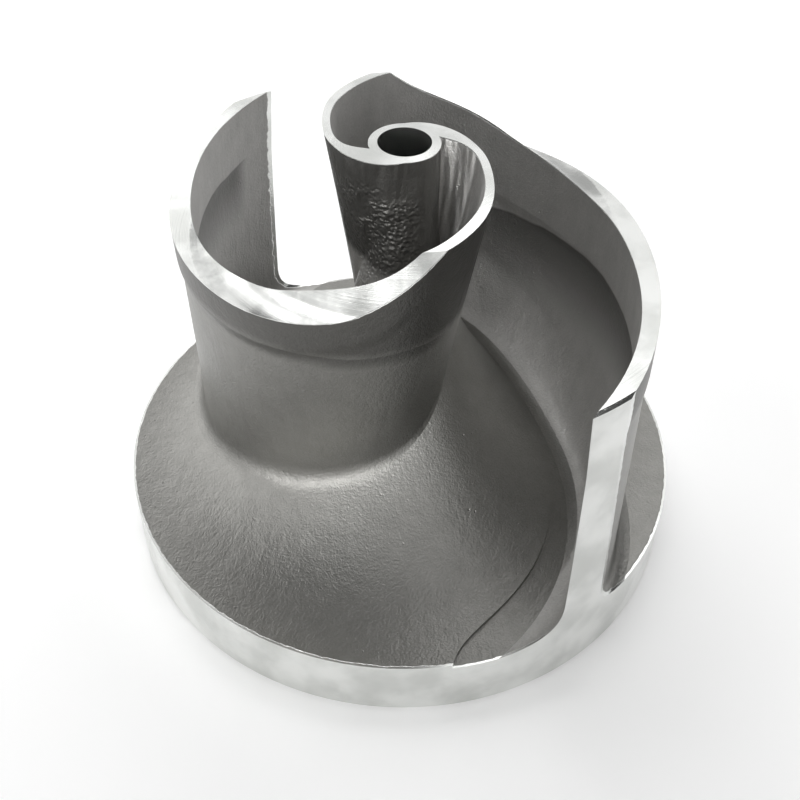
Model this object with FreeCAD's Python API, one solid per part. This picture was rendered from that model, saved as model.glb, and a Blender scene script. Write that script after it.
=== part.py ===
import FreeCAD, Part
import math
import os
from collections import namedtuple

# Open two-vane pump impeller, cast in one piece with its shroud and hub, then turned.
#
# Sizes are in millimetres and degrees. The origin is on the axis at the rim's lower edge, and
# +Z runs up the axis to the eye. Seen from above, both vanes run outwards clockwise.

# Turned faces
outer_diameter = 260.0
rim_height = 31.0
outlet_width = 130.0
hub_rise = 171.0
hub_fall = 6.0
eye_diameter = 133.0
neck_angle = 74.0
neck_radius = 13.0
bore_diameter = 22.0
bore_chamfer = 1.0
rim_chamfer = 1.5
tip_chamfer = 1.2

# Cast shroud, whose floor flares from the hub to a flat land inside the rim
hub_diameter = 29.4
flare_rise = 141.0
land_width = 3.0
floor_step = 2.0

# Hollow back, around a sleeve for the bore
back_rim_width = 16.0
back_depth = 18.0
back_sleeve_diameter = 56.0
back_cone_rise = 36.0
back_draft = 8.0

# Vane walls, shaped by rows of poles up their sides. The lowest lie this far from a side's foot on
# the slim hub, the others at these parts of the height above the root, and a fillet's go this
# far into the shroud. All walls start above the turned faces, which then trim them.
hub_rows = (-14, -10, -6, -2, 2)
wall_shares = (0.15, 0.3, 0.45, 0.55, 0.65, 0.75, 1)
fillet_tail = (8, 2)
overshoot = 12.0
root_fillet = 11.0
outlet_fillet = 7.0
merge = 0.975
sweep_power = 3.0
sweep_power_outlet = 1.4
sweep_start = 200.0
sweep_end = 235.0
root_start = 25.0
root_full = 110.0
outer_bead_height = 18.0
inner_bead_height = 28.0
bead_step = 1.6
bead_slope = 4.0
bead_start = 70.0
bead_full = 130.0
bead_fade = 205.0
bead_end = 240.0

# One vane's sections, each in the half plane at a wrap angle from the hub. outer and inner are
# the two faces' radii at the height of the vane tips, as parts of the outer radius. lean is how
# far a face moves outwards per unit of height, and root how far the concave face sweeps in below.
Section = namedtuple("Section", "wrap outer inner lean root")
sections = [
    Section(-100, 0.100, 0.060, 0.02, 0.00),
    Section(-75, 0.108, 0.060, 0.06, 0.00),
    Section(-50, 0.116, 0.056, 0.115, 0.00),
    Section(-30, 0.130, 0.056, 0.15, 0.00),
    Section(-15, 0.149, 0.076, 0.165, 0.00),
    Section(0, 0.173, 0.136, 0.18, 0.00),
    Section(30, 0.252, 0.220, 0.19, 0.02),
    Section(60, 0.381, 0.342, 0.21, 0.04),
    Section(90, 0.512, 0.478, 0.21, 0.06),
    Section(120, 0.605, 0.540, 0.175, 0.09),
    Section(150, 0.685, 0.600, 0.115, 0.16),
    Section(175, 0.750, 0.675, 0.050, 0.17),
    Section(195, 0.812, 0.745, 0.010, 0.08),
    Section(215, 0.905, 0.850, -0.012, 0.028),
    Section(235, 1.025, 0.975, -0.026, 0.020),
    Section(255, 1.150, 1.110, -0.026, 0.020),
]

# Where the passage core's joint left a low step in the floor, as polar points on one side
step_line = [(0.20, 10), (0.36, -19), (0.50, -21), (0.59, -28), (0.68, -39), (0.78, -55),
             (0.87, -70), (0.96, -78), (1.04, -80)]

outer_radius = outer_diameter / 2
hub_radius = hub_diameter / 2
eye_radius = eye_diameter / 2
floor_z = rim_height
tip_z = rim_height + outlet_width
hub_z = rim_height + hub_rise
flare_z = rim_height + flare_rise
eye_z = hub_z - hub_fall
land_radius = outer_radius - land_width
above = hub_z + overshoot
vane_count = 2
section_step = 14
flare_step = 7.5


def polar(radius, angle, z):
    turn = math.radians(angle)
    return FreeCAD.Vector(radius * math.cos(turn), radius * math.sin(turn), z)


def in_plane(radius, z):
    return FreeCAD.Vector(radius, 0, z)


def turned(edges):
    face = Part.Face(Part.Wire(edges))
    return face.revolve(FreeCAD.Vector(0, 0, 0), FreeCAD.Vector(0, 0, 1), 360)


def path(*points):
    return [Part.makeLine(a, b) for a, b in zip(points, points[1:])]


def floor_height(radius):
    """Height of the shroud's floor, a quarter ellipse from the hub's side to the land."""
    if radius < hub_radius:
        return hub_z
    span = land_radius - hub_radius
    part = min(max((land_radius - radius) / span, 0.0), 1.0)
    return floor_z + flare_rise * (1 - math.sqrt(1 - part * part))


def envelope():
    """Everything inside the turned faces: rim, vane tips, neck and hub face."""
    slope = math.radians(neck_angle)
    run = (eye_z - tip_z) / math.tan(slope)
    corner = eye_radius + run
    reach = neck_radius * math.tan(slope / 2)
    upper = in_plane(corner - reach * math.cos(slope), tip_z + reach * math.sin(slope))
    lower = in_plane(corner + reach, tip_z)
    centre = in_plane(corner + reach, tip_z + neck_radius)
    middle = centre + in_plane(-math.sin(slope / 2), -math.cos(slope / 2)) * neck_radius
    return turned(
        path(in_plane(0, hub_z), in_plane(0, 0), in_plane(outer_radius, 0),
             in_plane(outer_radius, tip_z - tip_chamfer), in_plane(outer_radius - tip_chamfer, tip_z),
             lower)
        + [Part.Arc(lower, middle, upper).toShape()]
        + path(upper, in_plane(eye_radius, eye_z), in_plane(0, hub_z))
    )


def turned_height(radius):
    """Height of the turned faces over a radius."""
    if radius <= eye_radius:
        return hub_z - hub_fall * radius / eye_radius
    slope = math.radians(neck_angle)
    corner = eye_radius + (eye_z - tip_z) / math.tan(slope)
    reach = neck_radius * math.tan(slope / 2)
    if radius <= corner - reach * math.cos(slope):
        return eye_z - (radius - eye_radius) * math.tan(slope)
    if radius >= corner + reach:
        return tip_z
    aside = corner + reach - radius
    return tip_z + neck_radius - math.sqrt(neck_radius ** 2 - aside ** 2)


def section_at(wrap):
    """The vane's section at any wrap angle, on smooth curves through the listed ones."""
    last = len(sections) - 2
    here = max(k for k in range(last + 1) if k == 0 or sections[k].wrap <= wrap)
    near = [sections[min(max(here + k, 0), last + 1)] for k in (-1, 0, 1, 2)]
    before, a, b, after = near
    width = b.wrap - a.wrap
    t = (wrap - a.wrap) / width
    values = [wrap]
    for before_v, a_v, b_v, after_v in list(zip(before, a, b, after))[1:]:
        rise_a = (b_v - before_v) * width / (b.wrap - before.wrap)
        rise_b = (after_v - a_v) * width / (after.wrap - a.wrap)
        values.append(
            a_v * (1 + 2 * t) * (1 - t) ** 2 + b_v * t * t * (3 - 2 * t)
            + rise_a * t * (1 - t) ** 2 - rise_b * t * t * (1 - t)
        )
    return Section(*values)


def crossing(face, surface, low, high):
    """Height at which a face, given as radius by height, meets a surface, height by radius."""
    for _ in range(50):
        middle = (low + high) / 2
        if surface(face(middle)) > middle:
            low = middle
        else:
            high = middle
    return low


def bead_at(wrap):
    """How far the bead stands out of a vane's faces at a wrap angle."""
    rise = (wrap - bead_start) / (bead_full - bead_start)
    fall = (bead_end - wrap) / (bead_end - bead_fade)
    return bead_step * min(max(min(rise, fall), 0), 1)


def faces_at(wrap):
    """The two cast faces of a vane at a wrap angle, each as radius by height, beads left off."""
    s = section_at(wrap)
    slim = bead_at(wrap)

    def outer(z):
        return outer_radius * s.outer + s.lean * (z - tip_z) - slim

    def straight(z):
        return outer_radius * s.inner + s.lean * (z - tip_z) + slim

    foot = crossing(straight, floor_height, floor_z, eye_z)
    late = min(max((wrap - sweep_start) / (sweep_end - sweep_start), 0), 1)
    power = sweep_power + (sweep_power_outlet - sweep_power) * late

    def inner(z):
        below = min(max((tip_z - z) / max(tip_z - foot, 1), 0), 1)
        return straight(z) - outer_radius * s.root * below ** power

    return outer, inner


def floor_point(turn):
    """Point of the floor in the half plane, from the land at 0 degrees to the hub's side at 90."""
    span = land_radius - hub_radius
    turn = math.radians(turn)
    return in_plane(land_radius - span * math.sin(turn), floor_z + flare_rise * (1 - math.cos(turn)))


def nearest_floor(point):
    """The floor's nearest point to a point in the half plane."""
    if point.x > land_radius:
        return in_plane(point.x, floor_z)
    if point.z > flare_z:
        return in_plane(hub_radius, point.z)
    low, high = 0.0, 90.0
    for _ in range(60):
        a, b = low + (high - low) / 3, high - (high - low) / 3
        if point.distanceToPoint(floor_point(a)) < point.distanceToPoint(floor_point(b)):
            high = b
        else:
            low = a
    return floor_point(low)


def fillet_at(wrap, outwards):
    """Radius of a vane's root fillet: small at the hub, full on the front, and on the outer face
    small again towards the outlet."""
    grown = min(0.3 + 0.7 * (wrap - root_start) / (root_full - root_start), 1)
    if outwards < 0 or wrap < bead_full:
        return root_fillet * grown
    shrunk = min((wrap - bead_full) / (bead_end - bead_full), 1)
    return root_fillet + (outlet_fillet - root_fillet) * shrunk


def bead_levels(face, height):
    """Heights of the poles that shape the bead along a face's edge, and of the wall's top."""
    low = crossing(face, turned_height, tip_z, hub_z) - height
    return [low - 2 * bead_slope, low - bead_slope, low, low + bead_slope, above]


def wall_side(face, wrap, outwards):
    """Poles up one side of a vane, from inside the shroud over the root fillet to above the eye."""
    low = crossing(face, floor_height, floor_z, eye_z - neck_radius)
    if wrap < root_start:
        points = [in_plane(face(low + up), low + up) for up in hub_rows]
    else:
        points = root_poles(face, low, fillet_at(wrap, outwards), outwards)
    start = points[-1].z
    bead = bead_levels(face, outer_bead_height if outwards > 0 else inner_bead_height)
    ready = min(max((wrap - root_start) / (bead_start - root_start), 0), 1)
    ready *= ready * (3 - 2 * ready)
    for share, own in zip(wall_shares, [None, None] + bead):
        z = start + share * (above - start)
        proud = 0
        if own is None:
            z += share * ready * (bead[0] - above)
        else:
            z += (own - z) * ready
            proud = bead_at(wrap) if own > bead[1] else 0
        points.append(in_plane(face(z) + outwards * proud, z))
    return [polar(point.x, -wrap, point.z) for point in points]


def root_poles(face, low, fillet, outwards):
    """Poles in the half plane over a root fillet, from inside the shroud to the cast face."""
    def across(z):
        normal = FreeCAD.Vector(outwards, 0, outwards * (face(z - 0.5) - face(z + 0.5)))
        return normal.normalize()

    def centre(z):
        return in_plane(face(z), z) + across(z) * fillet

    high = above
    clearance = merge * fillet - (floor_step if outwards < 0 else 0)
    for _ in range(40):
        z = (low + high) / 2
        clear = centre(z).distanceToPoint(nearest_floor(centre(z)))
        if clear < clearance:
            low = z
        else:
            high = z
    middle = centre(z)
    start = -across(z)
    end = (nearest_floor(middle) - middle).normalize()
    corner = middle + (start + end) * (fillet / (1 + start.dot(end)))
    toe, heel = middle + end * fillet, middle + start * fillet
    outside = toe * 2 - corner
    return [outside + end * deep for deep in fillet_tail] + [outside, corner, heel * 2 - corner]


def uniform(poles):
    """Smooth curve of degree three that the poles pull on."""
    spans = len(poles) - 3
    curve = Part.BSplineCurve()
    curve.buildFromPolesMultsKnots(
        poles, [4] + [1] * (spans - 1) + [4], list(range(spans + 1)), False, 3)
    return curve


def line_through(points, places):
    curve = Part.BSplineCurve()
    curve.interpolate(Points=list(points), Parameters=places)
    return curve


def strip(lines, across):
    """Face over curves along a vane, with the degree and knots of the curve across it."""
    along = lines[0]
    surface = Part.BSplineSurface()
    surface.buildFromPolesMultsKnots(
        [line.getPoles() for line in lines], across.getMultiplicities(),
        along.getMultiplicities(), across.getKnots(), along.getKnots(), False, False,
        across.Degree, along.Degree)
    return surface.toShape()


def between(first_grid, second_grid, columns):
    """Solid between two grids of poles, each with one list of poles up every section."""
    across = uniform(first_grid[0])
    first = [line_through(row, columns) for row in zip(*first_grid)]
    second = [line_through(row, columns) for row in zip(*second_grid)]
    flat = Part.BSplineCurve()
    flat.buildFromPolesMultsKnots([first_grid[0][0], second_grid[0][0]], [2, 2], [0, 1], False, 1)
    faces = [strip(first, across), strip(second, across)]
    faces += [strip([first[k], second[k]], flat) for k in (0, -1)]
    for a, b in ((first_grid[0], second_grid[0]), (first_grid[-1], second_grid[-1])):
        edges = [uniform(a).toShape(), Part.makeLine(a[-1], b[-1]),
                 uniform(b).toShape(), Part.makeLine(b[0], a[0])]
        faces.append(Part.Face(Part.Wire(Part.__sortEdges__(edges))))
    shell = Part.makeShell(faces)
    shell.sewShape()
    solid = Part.makeSolid(shell)
    return solid if solid.Volume > 0 else solid.reversed()


def wraps(first, last, step):
    count = math.ceil((last - first) / step)
    return [first + (last - first) * k / count for k in range(count + 1)]


def vane():
    """One vane with its beads, trimmed by the turned faces."""
    columns = wraps(sections[0].wrap, sections[-1].wrap, section_step)
    outer_grid, inner_grid = [], []
    for wrap in columns:
        outer, inner = faces_at(wrap)
        outer_grid.append(wall_side(outer, wrap, 1))
        inner_grid.append(wall_side(inner, wrap, -1))
    return between(outer_grid, inner_grid, columns).common(envelope())


def shroud_profile(drop):
    """Section of the disc, flared floor and hub, with the floor this much lower."""
    flare = [floor_point(angle) - in_plane(0, drop) for angle in wraps(0, 90, flare_step)]
    curve = Part.BSplineCurve()
    curve.interpolate(flare)
    return (
        path(in_plane(0, hub_z), in_plane(0, 0), in_plane(outer_radius - rim_chamfer, 0),
             in_plane(outer_radius, rim_chamfer), in_plane(outer_radius, floor_z - drop), flare[0])
        + [curve.toShape()]
        + path(flare[-1], in_plane(hub_radius, hub_z), in_plane(0, hub_z))
    )


def step_area():
    """The part of each passage's floor beyond the core's joint, as a tall prism."""
    line = Part.BSplineCurve()
    line.interpolate([polar(outer_radius * r, a, 0) for r, a in step_line])
    back = Part.BSplineCurve()
    wall = []
    for wrap in (235, 215, 195, 175, 150, 120):
        outer, inner = faces_at(wrap)
        wall.append(polar((outer(floor_z) + inner(floor_z)) / 2, 180 - wrap, 0))
    back.interpolate(wall)
    edges = [line.toShape()] + path(line.EndPoint, wall[0]) + [back.toShape()]
    edges += path(wall[-1], line.StartPoint)
    return Part.Face(Part.Wire(edges)).extrude(FreeCAD.Vector(0, 0, above))


def shroud():
    body = turned(shroud_profile(0))
    beyond = step_area().cut(turned(shroud_profile(floor_step)))
    for tool in around(beyond):
        body = body.cut(tool)
    return body


def around(shape):
    """The shape repeated for each vane about the axis."""
    copies = []
    for k in range(vane_count):
        copy = shape.copy()
        copy.rotate(FreeCAD.Vector(0, 0, 0), FreeCAD.Vector(0, 0, 1), 360 * k / vane_count)
        copies.append(copy)
    return copies


def hollow_back():
    """Hollow under the shroud, between the rim's seat and the bore's sleeve."""
    lean = math.tan(math.radians(back_draft))
    outside = outer_radius - back_rim_width
    sleeve = back_sleeve_diameter / 2
    top = back_depth + back_cone_rise
    return turned(path(
        in_plane(sleeve, -1), in_plane(outside, -1), in_plane(outside - lean * back_depth, back_depth),
        in_plane(sleeve + lean * top, top), in_plane(sleeve, 0), in_plane(sleeve, -1)))


def bore():
    radius = bore_diameter / 2
    wide = radius + bore_chamfer
    return turned(path(
        in_plane(0, -1), in_plane(wide, -1), in_plane(wide, 0), in_plane(radius, bore_chamfer),
        in_plane(radius, hub_z - bore_chamfer), in_plane(wide + 1, hub_z + 1), in_plane(0, hub_z + 1),
        in_plane(0, -1)))


def impeller():
    body = shroud().common(envelope())
    for copy in around(vane()):
        body = body.fuse(copy)
    return body.cut(hollow_back()).cut(bore()).removeSplitter()


os.makedirs("parts", exist_ok=True)
model = impeller()
solid = model.Solids[0]
solid.exportStep("parts/impeller.step")
print("solids", len(model.Solids), "valid", solid.isValid(), "volume", round(solid.Volume),
      "box", solid.BoundBox)
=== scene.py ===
# %% [markdown]
# # A cast pump impeller
# The object is one steel casting: a round disc whose floor flares up into a slim hub, and two
# spiral vanes that rise from it. A foundry pours it, blasts the sand off, and a lathe then cuts
# the rim, the vanes' top edges and the bore bright. Its shape comes whole from the CAD model, so
# this lesson is about finish: how one material tells the cut faces from the cast skin.

# %% Load the model and keep its box
import bpy
import math
from mathutils import Matrix, Vector

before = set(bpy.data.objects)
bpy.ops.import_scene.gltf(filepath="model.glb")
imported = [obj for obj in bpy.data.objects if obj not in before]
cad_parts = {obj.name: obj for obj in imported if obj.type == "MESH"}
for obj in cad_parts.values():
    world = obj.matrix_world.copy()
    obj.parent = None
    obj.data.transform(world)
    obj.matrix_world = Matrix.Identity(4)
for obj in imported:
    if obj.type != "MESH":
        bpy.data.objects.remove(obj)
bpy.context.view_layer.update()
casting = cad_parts["impeller"]

# %% [markdown]
# The lathe's faces are all turned about the axis, so each is known by a radius and a height
# alone. Here they are again in metres, as the CAD source gives them in millimetres. The neck is
# the sloping ring between the hub's eye and the vanes' level tips, with a fillet at its foot.

# %% Sizes of the turned faces
RIM_RADIUS = 0.130
TIP_HEIGHT = 0.161
HUB_HEIGHT = 0.202
HUB_FALL = 0.006
EYE_RADIUS = 0.0665
NECK_ANGLE = math.radians(74)
NECK_FILLET = 0.013
BORE_RADIUS = 0.011
SEAT_WIDTH = 0.016
eye_height = HUB_HEIGHT - HUB_FALL
neck_foot = EYE_RADIUS + (eye_height - TIP_HEIGHT) / math.tan(NECK_ANGLE)
fillet_reach = NECK_FILLET * math.tan(NECK_ANGLE / 2)
fillet_radius = neck_foot + fillet_reach
fillet_height = TIP_HEIGHT + NECK_FILLET
print("the neck's foot is at radius", round(neck_foot, 4))

# %% [markdown]
# A material is a graph of nodes. Most of this one is arithmetic on the place of a point, so a few
# short helpers keep it readable. They all work in whichever tree is in hand.

# %% Helpers that add nodes
steel = bpy.data.materials.new("cast_steel")
steel.use_nodes = True
tree = steel.node_tree
shader = tree.nodes["Principled BSDF"]


def add(kind, inputs=(), **settings):
    """A node with its settings, whose inputs are sockets to link or plain values."""
    made = tree.nodes.new(kind)
    for name, value in settings.items():
        setattr(made, name, value)
    for key, value in dict(inputs).items():
        if isinstance(value, bpy.types.NodeSocket):
            tree.links.new(value, made.inputs[key])
        else:
            made.inputs[key].default_value = value
    return made


def sum_of(operation, first, second=0.0, third=0.0):
    """The result of one Math node."""
    inputs = {0: first, 1: second, 2: third}
    return add("ShaderNodeMath", inputs, operation=operation).outputs[0]


def ramp(value, low, high, start=0.0, end=1.0):
    """A smooth rise from start to end as a value goes from low to high."""
    inputs = {"Value": value, "From Min": low, "From Max": high, "To Min": start, "To Max": end}
    return add("ShaderNodeMapRange", inputs, interpolation_type="SMOOTHSTEP").outputs[0]


def length_of(vector):
    """The length of a vector."""
    return add("ShaderNodeVectorMath", {0: vector}, operation="LENGTH").outputs["Value"]


print("a new material starts with", len(tree.nodes), "nodes")

# %% [markdown]
# Object coordinates give every point its place in metres. A point's radius is the length of its
# place with the height left out.

# %% Place, radius and height of a point
place = add("ShaderNodeTexCoord").outputs["Object"]
x, y, height = add("ShaderNodeSeparateXYZ", {0: place}).outputs
flat = add("ShaderNodeCombineXYZ", {"X": x, "Y": y}).outputs[0]
radius = length_of(flat)
print("place, radius and height bring it to", len(tree.nodes), "nodes")

# %% [markdown]
# In the plane of radius and height, a turned face is a straight line, and the neck's fillet is a
# circle. How deep a point lies below one is then a difference or a weighted sum. The bore's depth
# starts a little further out, so that its chamfers count as cut.

# %% Depth below each turned face
BORE_MARGIN = 0.0015
side_depth = sum_of("SUBTRACT", RIM_RADIUS, radius)
tip_depth = sum_of("SUBTRACT", TIP_HEIGHT, height)
hub_rise = sum_of("MULTIPLY_ADD", radius, HUB_FALL / EYE_RADIUS, height)
hub_depth = sum_of("SUBTRACT", HUB_HEIGHT, hub_rise)
neck_sine = math.sin(NECK_ANGLE)
neck_cosine = math.cos(NECK_ANGLE)
cone_reach = EYE_RADIUS * neck_sine + eye_height * neck_cosine
cone_place = sum_of("MULTIPLY_ADD", radius, neck_sine, sum_of("MULTIPLY", height, neck_cosine))
cone_depth = sum_of("SUBTRACT", cone_reach, cone_place)
from_fillet = add("ShaderNodeCombineXYZ", {
    "X": sum_of("SUBTRACT", radius, fillet_radius), "Y": sum_of("SUBTRACT", height, fillet_height),
}).outputs[0]
fillet_depth = sum_of("SUBTRACT", length_of(from_fillet), NECK_FILLET)
bore_depth = sum_of("SUBTRACT", radius, BORE_RADIUS + BORE_MARGIN)
print("the depths bring it to", len(tree.nodes), "nodes")

# %% [markdown]
# A cut face ends where the cast skin falls away from it. A tool leaves that border a little
# ragged, most of all round the rim, where it only skims the rough casting. So a point counts as
# cut when it lies within a small, uneven distance of a turned face. Noise makes it uneven, and its
# scale is in lumps to the metre.

# %% Noise and masks
BORDER = 0.00012


def noise(scale, detail=2.0, vector=None, rough=0.5):
    """Noise with about this many lumps to the metre, from 0 to 1."""
    inputs = {"Vector": vector or place, "Scale": scale, "Detail": detail, "Roughness": rough}
    return add("ShaderNodeTexNoise", inputs).outputs["Fac"]


def uneven(mean, swing, texture):
    """A depth that swings about its mean as a texture goes from 0 to 1."""
    return sum_of("MULTIPLY_ADD", texture, swing, mean - swing / 2)


def within(depth, limit):
    """1 where a depth below a turned face is less than the limit, with a soft border."""
    return ramp(sum_of("SUBTRACT", limit, depth), -BORDER, BORDER)


def both(first, second):
    """The product of two masks, or of a texture and its share."""
    return sum_of("MULTIPLY", first, second)


def either(*masks):
    """The highest of some masks."""
    highest = masks[0]
    for mask in masks[1:]:
        highest = sum_of("MAXIMUM", highest, mask)
    return highest


print("a mask's border is", round(2 * BORDER * 1000, 2), "mm wide")

# %% [markdown]
# Each turned face has a mask of its own, and the highest of them all is the mask of the cut steel.
# The tips are cut only beyond the neck's fillet. Underneath, the two seats are flat rings, one in
# the rim and one on the sleeve round the bore.

# %% Mask of the turned faces
SKIM = 0.00035
RAGGED = 0.0005
RAGGED_LUMPS = 420
RIM_SKIM = 0.0011
RIM_RAGGED = 0.0015
RIM_LUMPS = 260
SEAT_SKIM = 0.0003
SEAT_MARGIN = 0.001
SLEEVE_REACH = 0.030
ragged = uneven(SKIM, RAGGED, noise(RAGGED_LUMPS, detail=3))
rim_ragged = uneven(RIM_SKIM, RIM_RAGGED, noise(RIM_LUMPS, detail=4))
beyond_neck = sum_of("GREATER_THAN", radius, fillet_radius)
above_fillet = sum_of("GREATER_THAN", height, TIP_HEIGHT + fillet_reach * neck_sine)
in_rim_seat = sum_of("GREATER_THAN", radius, RIM_RADIUS - SEAT_WIDTH - SEAT_MARGIN)
in_sleeve_seat = sum_of("LESS_THAN", radius, SLEEVE_REACH)
cuts = {
    "rim": within(side_depth, rim_ragged),
    "tips": both(within(tip_depth, ragged), beyond_neck),
    "hub": within(hub_depth, ragged),
    "cone": both(within(cone_depth, ragged), above_fillet),
    "fillet": within(fillet_depth, ragged),
    "bore": within(bore_depth, 0.0),
    "seats": both(within(height, SEAT_SKIM), either(in_rim_seat, in_sleeve_seat)),
}
cut = either(*cuts.values())
print("turned faces in the mask:", ", ".join(cuts))

# %% [markdown]
# Blasted cast steel is a dull grey. Close up it has a sandy grain, faint upright streaks on the
# walls from the pattern's draft, broad cloudy patches and finer mottling. Each is a noise of its
# own scale, and their weighted sum says how far the skin's colour goes towards a darker one. A
# mask marks the pocket beside the hub, where the skin has a crust and is painted pale as painted
# light, for the light its rough relief catches.

# %% Tone of the cast skin
CLOUD_LUMPS = 16
CLOUD_SHARE = 0.30
MOTTLE_LUMPS = 95
MOTTLE_SHARE = 0.30
STREAK_LUMPS = 230
STREAK_SHARE = 0.26
SAND_LUMPS = 1300
SAND_SHARE = 0.44
UPRIGHT_STRETCH = (1.0, 1.0, 0.16)
TONE_BASE = -0.42
POCKET_RADII = (0.062, 0.020)
POCKET_HEIGHTS = (0.100, 0.150)


def weighted(base, parts):
    """A base and the sum of some textures, each times its share."""
    total = base
    for share, texture in parts:
        total = sum_of("MULTIPLY_ADD", texture, share, total)
    return total


upright = add("ShaderNodeMapping", {"Vector": place, "Scale": UPRIGHT_STRETCH}).outputs[0]
cloud = noise(CLOUD_LUMPS, detail=3)
mottle = noise(MOTTLE_LUMPS, detail=3)
streaks = noise(STREAK_LUMPS, detail=4, vector=upright, rough=0.6)
sand = noise(SAND_LUMPS)
tone = weighted(TONE_BASE, [
    (CLOUD_SHARE, cloud), (MOTTLE_SHARE, mottle), (STREAK_SHARE, streaks), (SAND_SHARE, sand),
])
pocket = both(ramp(radius, *POCKET_RADII), ramp(height, *POCKET_HEIGHTS))
print("the tone brings it to", len(tree.nodes), "nodes")

# %% [markdown]
# A face of a vane is an outer one where its normal points away from the axis, and a hollow one
# where it points towards it. The hollow faces took their shape from the sand core.

# %% Outer and hollow faces
SIDE_BORDER = 0.004
HUB_BORDER = (0.032, 0.040)
normal = add("ShaderNodeTexCoord").outputs["Normal"]
turned_out = add("ShaderNodeVectorMath", {0: normal, 1: flat}, operation="DOT_PRODUCT")
facing = turned_out.outputs["Value"]
outer_side = ramp(facing, 0.0, SIDE_BORDER)
inner_side = ramp(facing, 0.0, -SIDE_BORDER)
cored = both(inner_side, ramp(radius, *HUB_BORDER))
print("the faces' sides bring it to", len(tree.nodes), "nodes")

# %% [markdown]
# Painted shade darkens the walls right under the bead that runs below the vanes' tips, as the
# bead's lower edge shades them. It starts sharply at the bead and fades downwards. The bead is
# higher on the outer faces than on the hollow ones, and on the outer ones the faces above it get a
# painted shade too.

# %% Painted shade under the beads
OUTER_GROOVE = 0.1432
INNER_GROOVE = 0.1310
GROOVE_EDGE = 0.0022
OUTER_FADE = 0.010
INNER_FADE = 0.045
FADE_ENDS = (0.1, 0.95)
WAVER = 0.004
WAVER_LUMPS = 45
VANE_START = (0.045, 0.058)
VANE_END = (0.125, 0.119)
BAND_HEIGHTS = (0.140, 0.150)
BAND_SHADE = 0.85
centred = sum_of("ADD", height, -WAVER / 2)
wavering = sum_of("MULTIPLY_ADD", noise(WAVER_LUMPS), WAVER, centred)


def shade_under_bead(level, fade, side):
    """Painted shade right under a bead, with a sharp upper border and a long fade below it."""
    below = ramp(wavering, level + GROOVE_EDGE, level)
    under = both(below, ramp(wavering, level - fade, level, *FADE_ENDS))
    distance = sum_of("ABSOLUTE", sum_of("SUBTRACT", wavering, level))
    line = ramp(distance, GROOVE_EDGE, 0.0)
    return both(either(under, line), side)


in_vane = both(ramp(radius, *VANE_START), ramp(radius, *VANE_END))
# Painted shade under the beads, on the outer and the hollow faces.
outer_bead_shade = shade_under_bead(OUTER_GROOVE, OUTER_FADE, outer_side)
inner_bead_shade = shade_under_bead(INNER_GROOVE, INNER_FADE, inner_side)
bead_shade = both(either(outer_bead_shade, inner_bead_shade), in_vane)
# Painted shade on the outer faces above the bead's level.
bead_band_shade = both(both(ramp(height, *BAND_HEIGHTS), outer_side), BAND_SHADE)
print("the grime brings it to", len(tree.nodes), "nodes")

# %% [markdown]
# A Mix node has one set of sockets for each kind of data, and the sets share their names. So they
# are found by their place in the list, which a small helper hides.

# %% Mix nodes
MIX_SOCKETS = {"FLOAT": (0, 2, 3, 0), "VECTOR": (0, 4, 5, 1), "RGBA": (0, 6, 7, 2)}


def mix(kind, factor, first, second):
    """The first value where the factor is 0, and the second where it is 1."""
    factor_at, first_at, second_at, result_at = MIX_SOCKETS[kind]
    inputs = {factor_at: factor, first_at: first, second_at: second}
    return add("ShaderNodeMix", inputs, data_type=kind).outputs[result_at]


print("kinds of Mix node:", ", ".join(MIX_SOCKETS))

# %% [markdown]
# The skin is a mid grey. It is paler on the hollow faces, partly for their duller cored skin and
# partly as painted light in the dim passages, and palest in the pocket beside the hub, as painted
# light. Its tone, the painted shade on the outer faces above the bead and the painted shade under
# the beads then draw it towards a darker grey.

# %% Colour of the cast skin
SKIN = (0.285, 0.282, 0.267, 1.0)
SKIN_DARK = (0.12, 0.118, 0.111, 1.0)
# Paler hollow faces: partly the duller cored skin, partly painted light in the dim passages.
CORED_AND_PAINTED_LIGHT = (0.49, 0.482, 0.466, 1.0)
# Painted light: the pocket beside the hub is painted pale for the light its relief catches.
POCKET_PAINTED_LIGHT = (0.80, 0.79, 0.77, 1.0)
# The random tone plus the painted shade on and under the beads.
tone_and_shade = either(sum_of("ADD", tone, bead_band_shade), bead_shade)
# Plain skin, with painted light on the hollow faces and in the pocket.
skin_and_painted_light = mix("RGBA", pocket, mix("RGBA", cored, SKIN, CORED_AND_PAINTED_LIGHT), POCKET_PAINTED_LIGHT)
skin = mix("RGBA", tone_and_shade, skin_and_painted_light, SKIN_DARK)
print("the skin's colour brings it to", len(tree.nodes), "nodes")

# %% [markdown]
# The cut faces are bright steel, a little uneven, as if wiped with a cloth. The smears on the
# sloping ring of the neck are darker than those on the rim, as the photograph shows them.

# %% Colour of the cut faces
BRIGHT = (0.78, 0.788, 0.77, 1.0)
BRIGHT_LOW = (0.60, 0.61, 0.59, 1.0)
SMEARED = (0.34, 0.345, 0.335, 1.0)
SMEAR_LUMPS = 38
SMEAR_ENDS = (0.35, 0.65)
neck = either(cuts["cone"], cuts["fillet"])
worn = mix("RGBA", neck, BRIGHT_LOW, SMEARED)
bright = mix("RGBA", ramp(noise(SMEAR_LUMPS, detail=5), *SMEAR_ENDS), BRIGHT, worn)
tree.links.new(mix("RGBA", cut, skin, bright), shader.inputs["Base Color"])
print("the whole colour brings it to", len(tree.nodes), "nodes")

# %% [markdown]
# Roughness and metalness follow the same masks. The cut faces are plain metal. The outer skin is
# blasted almost to bare metal, while the hollow faces and the pocket beside the hub, where the
# sand core lay, stay duller and scatter light almost like stone.

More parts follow.
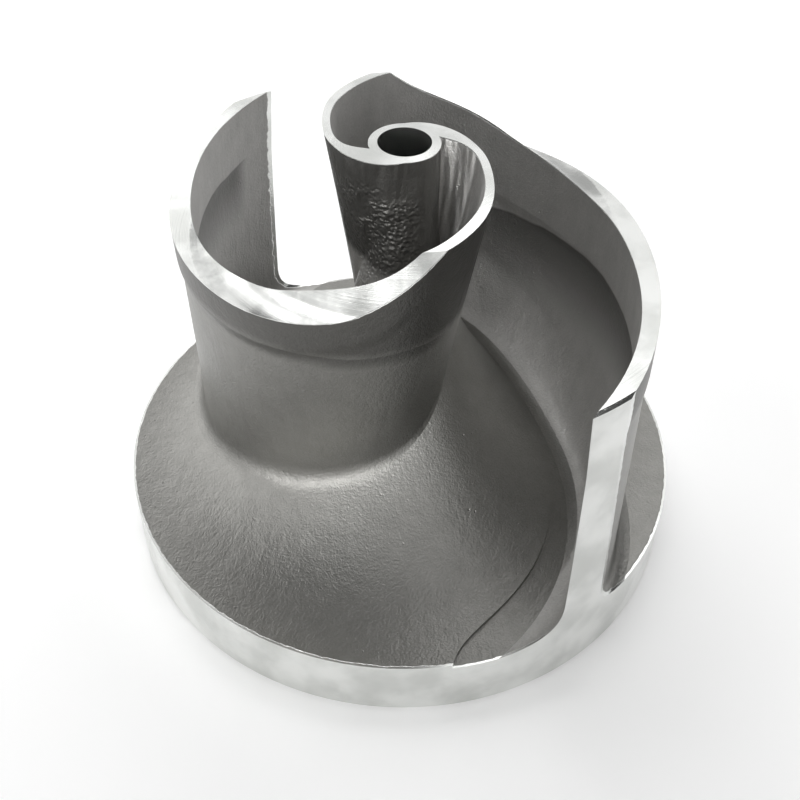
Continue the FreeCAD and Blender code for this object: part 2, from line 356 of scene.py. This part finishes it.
# %% Roughness and metalness
CUT_ROUGH = 0.24
SKIN_ROUGH = 0.38
SAND_ROUGH = 0.48
CUT_METAL = 1.0
SKIN_METAL = 0.84
SAND_METAL = 0.42
POCKET_SHARE = 0.45
sandy = either(cored, both(pocket, POCKET_SHARE))
skin_rough = ramp(sandy, 0.0, 1.0, SKIN_ROUGH, SAND_ROUGH)
skin_metal = ramp(sandy, 0.0, 1.0, SKIN_METAL, SAND_METAL)
tree.links.new(mix("FLOAT", cut, skin_rough, CUT_ROUGH), shader.inputs["Roughness"])
tree.links.new(mix("FLOAT", cut, skin_metal, CUT_METAL), shader.inputs["Metallic"])
print("roughness and metalness bring it to", len(tree.nodes), "nodes")

# %% [markdown]
# Relief is a height in metres for the Bump node. The skin has sand grain, soft casting waves and
# a few pits, all too fine for the mesh.

# %% Relief of the skin
PIT_LUMPS = 330
PIT_REACH = (0.22, 0.02)
PIT_DEPTH = -0.00035
PATCH_LUMPS = 70
PATCH_ENDS = (0.60, 0.72)
GRIT_LUMPS = 700
GRIT_HEIGHT = 0.00016
WAVE_LUMPS = 120
WAVE_HEIGHT = 0.00026
SAND_HEIGHT = 0.00016
STREAK_HEIGHT = 0.00020
pits = add("ShaderNodeTexVoronoi", {"Vector": place, "Scale": PIT_LUMPS}).outputs["Distance"]
few = ramp(noise(PATCH_LUMPS), *PATCH_ENDS)
pitted = both(both(ramp(pits, *PIT_REACH), few), PIT_DEPTH)
grit = noise(GRIT_LUMPS)
waves = noise(WAVE_LUMPS, detail=3)
grain = weighted(0.0, [
    (SAND_HEIGHT, sand), (STREAK_HEIGHT, streaks), (GRIT_HEIGHT, grit), (WAVE_HEIGHT, waves),
])
print("the grain brings it to", len(tree.nodes), "nodes")

# %% [markdown]
# In the pocket beside the hub, the sand core was hard to clean off. It left upright flutes on the
# hub's trunk and, on the left of the arm, a pebbly crust in patches. They are a millimetre or two
# of dirt that no drawing gives, so relief in the material does for them too.

# %% Flutes and crust on the hub's trunk
PEBBLE_LUMPS = 620
CRUST_LUMPS = 40
CRUST_ENDS = (0.36, 0.50)
CRUST_HEIGHT = 0.0011
CRUST_TOP = (0.195, 0.175)
ARM_BORDER = (0.012, 0.002)
FLUTE_LUMPS = 85
FLUTE_HEIGHT = 0.0075
pebbles = add("ShaderNodeTexVoronoi", {"Vector": place, "Scale": PEBBLE_LUMPS}, feature="SMOOTH_F1")
left_of_arm = both(ramp(x, *ARM_BORDER), ramp(height, *CRUST_TOP))
patches = both(ramp(noise(CRUST_LUMPS, detail=3), *CRUST_ENDS), left_of_arm)
crust = both(patches, pebbles.outputs["Distance"])
flutes = noise(FLUTE_LUMPS, vector=upright)
trunk = weighted(0.0, [(CRUST_HEIGHT, crust), (FLUTE_HEIGHT, flutes)])
print("the trunk brings it to", len(tree.nodes), "nodes")

# %% [markdown]
# A lathe's tool leaves rings a fraction of a millimetre apart. Noise that reads only radius and
# height is a set of such rings on every turned face.

# %% Relief of the cut faces and of the whole
RING_LUMPS = 2600
RING_HEIGHT = 0.00003
rings = add("ShaderNodeCombineXYZ", {"X": radius, "Y": height}).outputs[0]
tool_marks = both(noise(RING_LUMPS, detail=1, vector=rings), RING_HEIGHT)
skin_relief = sum_of("ADD", sum_of("ADD", grain, pitted), both(pocket, trunk))
relief = mix("FLOAT", cut, skin_relief, tool_marks)
print("the relief brings it to", len(tree.nodes), "nodes")

# %% [markdown]
# At the foot of each vane, the casting's sand mould softened the corner with the flared floor. A
# Bevel node gives a normal rounded over a few millimetres. It is used at the foot alone, so that
# the low step along each passage's floor stays crisp. The vanes are half a turn apart, so an angle
# within half a turn does for both.

# %% Rounded foot of the vanes
FOOT_ROUND = 0.008
FOOT_SAMPLES = 6
FOOT_END = math.radians(128)
FOOT_FADE = 0.2
FOOT_HEIGHTS = (0.125, 0.110)
FOOT_INSIDE = (0.045, 0.055)
FOOT_OUTSIDE = (0.090, 0.082)
foot = add("ShaderNodeBevel", {"Radius": FOOT_ROUND}, samples=FOOT_SAMPLES).outputs[0]
half_turn = sum_of("FLOORED_MODULO", sum_of("ARCTAN2", y, x), math.pi)
near_foot = both(ramp(radius, *FOOT_INSIDE), ramp(radius, *FOOT_OUTSIDE))
at_foot = both(ramp(height, *FOOT_HEIGHTS), near_foot)
at_foot = both(at_foot, ramp(half_turn, FOOT_END, FOOT_END - FOOT_FADE))
plain = add("ShaderNodeNewGeometry").outputs["Normal"]
rounded = mix("VECTOR", at_foot, plain, foot)
bump = add("ShaderNodeBump", {
    "Height": relief, "Distance": 1.0, "Strength": 1.0, "Normal": rounded,
})
tree.links.new(bump.outputs[0], shader.inputs["Normal"])
for material_slot in casting.material_slots:
    material_slot.material = steel
print("steel has", len(tree.nodes), "nodes on", len(casting.material_slots), "slots")

# %% [markdown]
# The floor and the sky stand for a studio's white sweep. The floor is lit like anything else and
# so keeps the shadow. A glow that only the camera and reflections see brings its open parts up to
# white. It is faint round the object and full far away, where the lamps hardly reach and the floor
# has to meet the sky.

# %% Floor of the white sweep
FLOOR_SIZE = 12.0
FLOOR_PAINT = (0.88, 0.88, 0.88, 1.0)
FLOOR_ROUGH = 0.9
FLOOR_GLOW = 0.27
GLOW_NEAR = 0.6
GLOW_FAR = 2.2
WHITE = (1.0, 1.0, 1.0, 1.0)
bpy.ops.mesh.primitive_plane_add(size=FLOOR_SIZE)
floor = bpy.context.object
floor.name = "floor"
sweep = bpy.data.materials.new("white_sweep")
sweep.use_nodes = True
tree = sweep.node_tree
paint = tree.nodes["Principled BSDF"]
paint.inputs["Base Color"].default_value = FLOOR_PAINT
paint.inputs["Roughness"].default_value = FLOOR_ROUGH
paint.inputs["Emission Color"].default_value = WHITE


def seen_rays():
    """1 for a ray from the camera or a reflection, 0 for a ray that gathers soft light."""
    path = add("ShaderNodeLightPath").outputs
    return either(path["Is Glossy Ray"], path["Is Transmission Ray"], path["Is Camera Ray"])


from_centre = length_of(add("ShaderNodeTexCoord").outputs["Object"])
glow = ramp(from_centre, GLOW_NEAR, GLOW_FAR, FLOOR_GLOW, 1.0)
tree.links.new(both(seen_rays(), glow), paint.inputs["Emission Strength"])
floor.data.materials.append(sweep)
print("floor of", FLOOR_SIZE, "m glows by", FLOOR_GLOW, "round the object")

# %% [markdown]
# The sky is white to the camera and in reflections, and dimmer as a lamp, so that the metal shows
# a white room without being washed out.

# %% Sky
SKY_AS_LAMP = 0.22
sky = bpy.data.worlds.new("sky")
bpy.context.scene.world = sky
sky.use_nodes = True
tree = sky.node_tree
back = tree.nodes["Background"]
back.inputs["Color"].default_value = WHITE
tree.links.new(ramp(seen_rays(), 0.0, 1.0, SKY_AS_LAMP, 1.0), back.inputs["Strength"])
print("sky lights the object by", SKY_AS_LAMP)

# %% [markdown]
# Two wide soft lamps light the object. The stronger one hangs high at the back, so the shadow on
# the floor falls forwards with a soft border, and a weaker one stands on the left. Polished metal
# would show the high one as a glaring patch, so reflections leave it out. Each lamp is placed by
# its azimuth from the right, its elevation, and one distance for all.

# %% Soft lamps
AIM = Vector((0.0, 0.0, 0.07))
REACH = 1.5


def around(azimuth, elevation):
    """A place at the lamps' distance, by two angles in degrees."""
    across = math.radians(azimuth)
    up = math.radians(elevation)
    return AIM + REACH * Vector((
        math.cos(up) * math.cos(across), math.cos(up) * math.sin(across), math.sin(up),
    ))


def face_aim(thing):
    """Turn a lamp or a card towards the object."""
    thing.rotation_euler = (AIM - thing.location).to_track_quat("-Z", "Y").to_euler()


def soft_lamp(name, azimuth, elevation, width, depth, brightness, mirrored=True):
    """A lamp whose face is this many times as bright as white paper."""
    data = bpy.data.lights.new(name, "AREA")
    data.shape = "RECTANGLE"
    data.size = width
    data.size_y = depth
    data.energy = brightness * math.pi * width * depth
    lamp = bpy.data.objects.new(name, data)
    lamp.location = around(azimuth, elevation)
    face_aim(lamp)
    lamp.visible_glossy = mirrored
    bpy.context.scene.collection.objects.link(lamp)
    print(name, "lamp of", width, "by", depth, "m")


soft_lamp("high_back", azimuth=98, elevation=62, width=1.5, depth=1.2, brightness=3.5,
          mirrored=False)
soft_lamp("front_left", azimuth=200, elevation=45, width=1.0, depth=0.7, brightness=0.9)

# %% [markdown]
# Metal shows what stands round it, so a studio stands cards there. A long bright one, low in
# front, puts the light on the fillet at the vane's foot. Two more, at the back, light the tips and
# the far walls. Two dark ones, overhead and on the right, give the floor that slopes towards the
# camera and the right flanks their deep greys. Only reflections see the cards, so the sweep stays
# white and its shadow stays as the lamps cast it.

# %% Cards
CLOTH = (0.03, 0.03, 0.03, 1.0)


def card(name, azimuth, elevation, width, depth, glow):
    """A flat card facing the object, this many times as bright as white paper."""
    bpy.ops.mesh.primitive_plane_add(size=1.0, location=around(azimuth, elevation))
    sheet = bpy.context.object
    sheet.name = name
    sheet.scale = (width, depth, 1.0)
    face_aim(sheet)
    sheet.visible_camera = False
    sheet.visible_shadow = False
    sheet.visible_diffuse = False
    cloth = bpy.data.materials.new(name)
    cloth.use_nodes = True
    surface = cloth.node_tree.nodes["Principled BSDF"]
    surface.inputs["Base Color"].default_value = CLOTH
    surface.inputs["Roughness"].default_value = 1.0
    surface.inputs["Emission Color"].default_value = WHITE
    surface.inputs["Emission Strength"].default_value = glow
    sheet.data.materials.append(cloth)
    print(name, "card of", width, "by", depth, "m")


card("front_card", azimuth=238, elevation=13, width=2.4, depth=0.46, glow=6.5)
card("back_left_card", azimuth=140, elevation=24, width=1.8, depth=0.9, glow=2.2)
card("high_back_card", azimuth=60, elevation=58, width=0.9, depth=0.5, glow=2.4)
card("overhead_card", azimuth=170, elevation=76, width=1.2, depth=1.1, glow=0.0)
card("right_card", azimuth=0, elevation=28, width=1.5, depth=1.3, glow=0.0)

# %% [markdown]
# The camera looks down on the front by forty degrees from about half a metre. Its place and turn
# were fitted to the photograph's outlines, and the shift keeps the object where it lies there.

# %% Camera
CAMERA_PLACE = Vector((0.0, -0.3876, 0.4426))
CAMERA_PITCH = 0.69998
CAMERA_YAW = -0.03854
CAMERA_ROLL = -0.004654
SENSOR_WIDTH = 36.0
FOCAL_LENGTH = 50.93
SHIFT_RIGHT = 0.04
SHIFT_UP = -0.12
ahead = Vector((
    math.sin(CAMERA_YAW) * math.cos(CAMERA_PITCH),
    math.cos(CAMERA_YAW) * math.cos(CAMERA_PITCH),
    -math.sin(CAMERA_PITCH),
))
level = Vector((math.cos(CAMERA_YAW), -math.sin(CAMERA_YAW), 0.0))
rise = level.cross(ahead)
right = level * math.cos(CAMERA_ROLL) + rise * math.sin(CAMERA_ROLL)
turn = Matrix((right, right.cross(ahead), -ahead)).transposed()
lens = bpy.data.cameras.new("camera")
lens.sensor_width = SENSOR_WIDTH
lens.lens = FOCAL_LENGTH
lens.shift_x = SHIFT_RIGHT
lens.shift_y = SHIFT_UP
camera = bpy.data.objects.new("camera", lens)
camera.matrix_world = Matrix.Translation(CAMERA_PLACE) @ turn.to_4x4()
bpy.context.scene.collection.objects.link(camera)
bpy.context.scene.camera = camera
bpy.context.scene.view_settings.view_transform = "Standard"
print("camera looks down by", round(math.degrees(CAMERA_PITCH), 1), "degrees")
